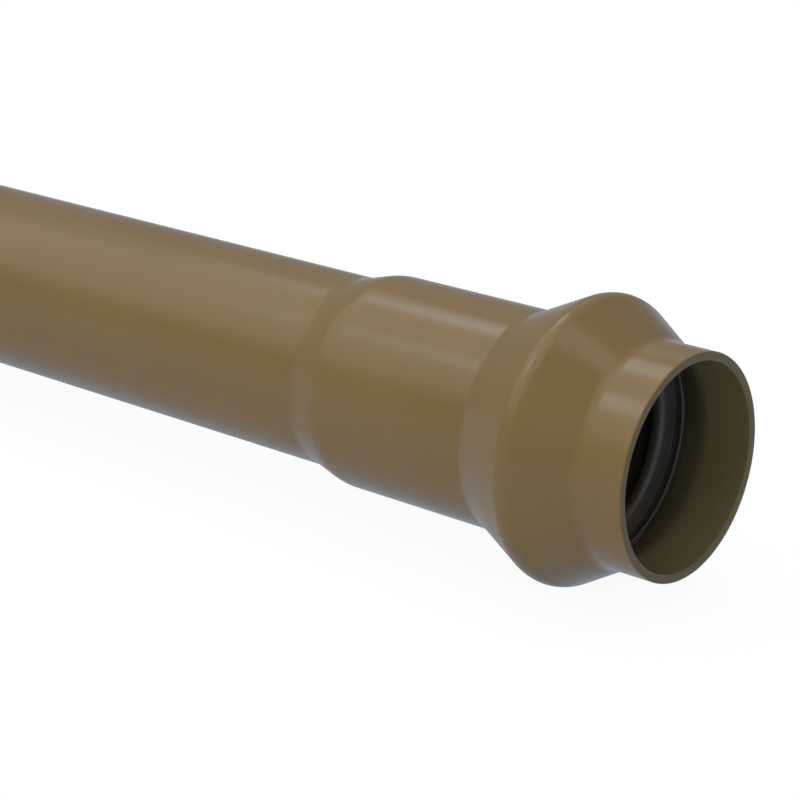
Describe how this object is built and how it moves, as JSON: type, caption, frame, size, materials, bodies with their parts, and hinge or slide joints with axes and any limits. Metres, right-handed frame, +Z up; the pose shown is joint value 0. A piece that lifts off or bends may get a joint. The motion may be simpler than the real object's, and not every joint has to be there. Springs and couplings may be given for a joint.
{
  "type": "pvc water pipe",
  "caption": "Straight PVC pressure water pipe with a push-fit socket formed on one end, a rubber sealing ring in the socket and a bevelled spigot end.",
  "frame": {"origin": "on the pipe's axis, at the rim of the socket's mouth", "axes": "+X along the axis and out of the socket's mouth, +Z up with the pipe lying down, spigot end towards -X"},
  "size_m": [3, 0.0864, 0.086],
  "materials": {
    "pvc": "semi-gloss brown rigid PVC",
    "rubber": "matt black rubber"
  },
  "bodies": {
    "root": {"pipe": "pvc", "seal_ring": "rubber"}
  },
  "joints": []
}
